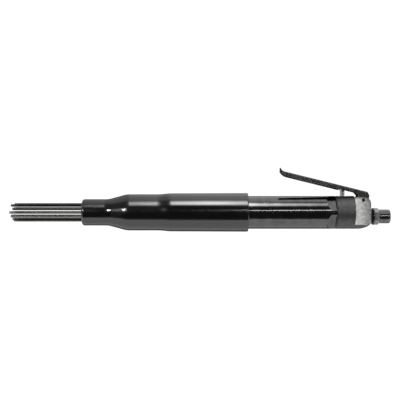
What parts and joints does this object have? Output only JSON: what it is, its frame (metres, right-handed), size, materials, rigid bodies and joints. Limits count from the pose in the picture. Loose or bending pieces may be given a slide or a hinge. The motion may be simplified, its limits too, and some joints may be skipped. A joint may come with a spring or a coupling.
{
  "type": "pneumatic needle scaler",
  "caption": "In-line pneumatic needle scaler: a bundle of steel needles in a stepped front tube, a straight barrel grip, and a rear throttle housing with a squeeze lever and air inlet.",
  "frame": {"origin": "on the tool's axis, in the middle of the bare barrel grip", "axes": "+X along the tool towards the air inlet, the needles point to -X; +Z towards the throttle lever; Y = 0 is the mirror plane"},
  "size_m": [0.4428, 0.0452, 0.0747],
  "materials": {
    "gloss_black_steel": "gloss black paint",
    "satin_black_steel": "semi-gloss black",
    "needle_steel": "drawn wire, oiled",
    "spring_steel": "oiled spring wire",
    "hardened_steel": "ground",
    "bronze": "turned",
    "cushion_rubber": "polyurethane",
    "seal_rubber": "nitrile",
    "valve_steel": "lapped",
    "cast_housing": "satin grey turned front, rough cast rear",
    "blackened_plug": "black oxide",
    "pin_steel": "black oxide",
    "black_lever": "black oxide, pressed sheet",
    "bright_steel": "ground bright",
    "valve_brass": "turned",
    "inlet_steel": "phosphated steel",
    "screen_steel": "perforated sheet"
  },
  "bodies": {
    "tool": {"front_tube": "gloss_black_steel", "needle_spring": "spring_steel", "anvil_cushion": "cushion_rubber", "anvil_bushing": "bronze", "barrel": "satin_black_steel", "tube_seal_ring": "seal_rubber", "valve_seat": "valve_steel", "valve_cover": "valve_steel", "valve_dowel": "valve_steel", "housing_gasket": "seal_rubber", "throttle_housing": "cast_housing", "stem_seal_ring": "seal_rubber", "valve_spring": "spring_steel", "valve_plug": "blackened_plug", "plug_seal_ring": "seal_rubber", "lever_pin": "pin_steel", "inlet_bushing": "inlet_steel", "inlet_seal_ring": "seal_rubber", "inlet_screen": "screen_steel"},
    "holder": {"needle_holder": "hardened_steel"},
    "anvil": {"anvil": "hardened_steel"},
    "piston": {"piston": "hardened_steel"},
    "valve_disc": {"valve_disc": "valve_steel"},
    "lever": {"throttle_lever": "black_lever"},
    "stem": {"throttle_stem": "bright_steel", "throttle_valve": "valve_brass"},
    "needle_01": {"needle_01": "needle_steel"},
    "needle_02": {"needle_02": "needle_steel"},
    "needle_03": {"needle_03": "needle_steel"},
    "needle_04": {"needle_04": "needle_steel"},
    "needle_05": {"needle_05": "needle_steel"},
    "needle_06": {"needle_06": "needle_steel"},
    "needle_07": {"needle_07": "needle_steel"},
    "needle_08": {"needle_08": "needle_steel"},
    "needle_09": {"needle_09": "needle_steel"},
    "needle_10": {"needle_10": "needle_steel"},
    "needle_11": {"needle_11": "needle_steel"},
    "needle_12": {"needle_12": "needle_steel"},
    "needle_13": {"needle_13": "needle_steel"},
    "needle_14": {"needle_14": "needle_steel"},
    "needle_15": {"needle_15": "needle_steel"},
    "needle_16": {"needle_16": "needle_steel"},
    "needle_17": {"needle_17": "needle_steel"},
    "needle_18": {"needle_18": "needle_steel"},
    "needle_19": {"needle_19": "needle_steel"}
  },
  "joints": [
    {"name": "lever_pivot", "type": "hinge", "parent": "tool", "child": "lever", "pos_m": [0.0871, 0, 0.0143], "axis": [0, -1, 0], "range_deg": [0, 13], "stiffness_Nm_per_rad": 0.35, "springref_deg": -20.05},
    {"name": "stem_slide", "type": "slide", "parent": "tool", "child": "stem", "axis": [0, 0, -1], "range_m": [0, 0.0056], "stiffness_N_per_m": 900, "springref_m": -0.006, "deforming": ["valve_spring"]},
    {"name": "piston_slide", "type": "slide", "parent": "tool", "child": "piston", "axis": [-1, 0, 0], "range_m": [0, 0.0397]},
    {"name": "anvil_slide", "type": "slide", "parent": "tool", "child": "anvil", "axis": [-1, 0, 0], "range_m": [0, 0.0027]},
    {"name": "valve_disc_slide", "type": "slide", "parent": "tool", "child": "valve_disc", "axis": [1, 0, 0], "range_m": [0, 0.0008]},
    {"name": "holder_slide", "type": "slide", "parent": "tool", "child": "holder", "axis": [-1, 0, 0], "range_m": [0, 0.008], "stiffness_N_per_m": 1500, "springref_m": -0.01, "deforming": ["needle_spring"]},
    {"name": "needle_01_slide", "type": "slide", "parent": "holder", "child": "needle_01", "axis": [1, 0, 0], "range_m": [0, 0.0027]},
    {"name": "needle_02_slide", "type": "slide", "parent": "holder", "child": "needle_02", "axis": [1, 0, 0], "range_m": [0, 0.0027]},
    {"name": "needle_03_slide", "type": "slide", "parent": "holder", "child": "needle_03", "axis": [1, 0, 0], "range_m": [0, 0.0027]},
    {"name": "needle_04_slide", "type": "slide", "parent": "holder", "child": "needle_04", "axis": [1, 0, 0], "range_m": [0, 0.0027]},
    {"name": "needle_05_slide", "type": "slide", "parent": "holder", "child": "needle_05", "axis": [1, 0, 0], "range_m": [0, 0.0027]},
    {"name": "needle_06_slide", "type": "slide", "parent": "holder", "child": "needle_06", "axis": [1, 0, 0], "range_m": [0, 0.0027]},
    {"name": "needle_07_slide", "type": "slide", "parent": "holder", "child": "needle_07", "axis": [1, 0, 0], "range_m": [0, 0.0027]},
    {"name": "needle_08_slide", "type": "slide", "parent": "holder", "child": "needle_08", "axis": [1, 0, 0], "range_m": [0, 0.0027]},
    {"name": "needle_09_slide", "type": "slide", "parent": "holder", "child": "needle_09", "axis": [1, 0, 0], "range_m": [0, 0.0027]},
    {"name": "needle_10_slide", "type": "slide", "parent": "holder", "child": "needle_10", "axis": [1, 0, 0], "range_m": [0, 0.0027]},
    {"name": "needle_11_slide", "type": "slide", "parent": "holder", "child": "needle_11", "axis": [1, 0, 0], "range_m": [0, 0.0027]},
    {"name": "needle_12_slide", "type": "slide", "parent": "holder", "child": "needle_12", "axis": [1, 0, 0], "range_m": [0, 0.0027]},
    {"name": "needle_13_slide", "type": "slide", "parent": "holder", "child": "needle_13", "axis": [1, 0, 0], "range_m": [0, 0.0027]},
    {"name": "needle_14_slide", "type": "slide", "parent": "holder", "child": "needle_14", "axis": [1, 0, 0], "range_m": [0, 0.0027]},
    {"name": "needle_15_slide", "type": "slide", "parent": "holder", "child": "needle_15", "axis": [1, 0, 0], "range_m": [0, 0.0027]},
    {"name": "needle_16_slide", "type": "slide", "parent": "holder", "child": "needle_16", "axis": [1, 0, 0], "range_m": [0, 0.0027]},
    {"name": "needle_17_slide", "type": "slide", "parent": "holder", "child": "needle_17", "axis": [1, 0, 0], "range_m": [0, 0.0027]},
    {"name": "needle_18_slide", "type": "slide", "parent": "holder", "child": "needle_18", "axis": [1, 0, 0], "range_m": [0, 0.0027]},
    {"name": "needle_19_slide", "type": "slide", "parent": "holder", "child": "needle_19", "axis": [1, 0, 0], "range_m": [0, 0.0027]}
  ],
  "couplings": [
    {"joint": "stem_slide", "follows": "lever_pivot", "m_per_rad": 0.0245}
  ]
}
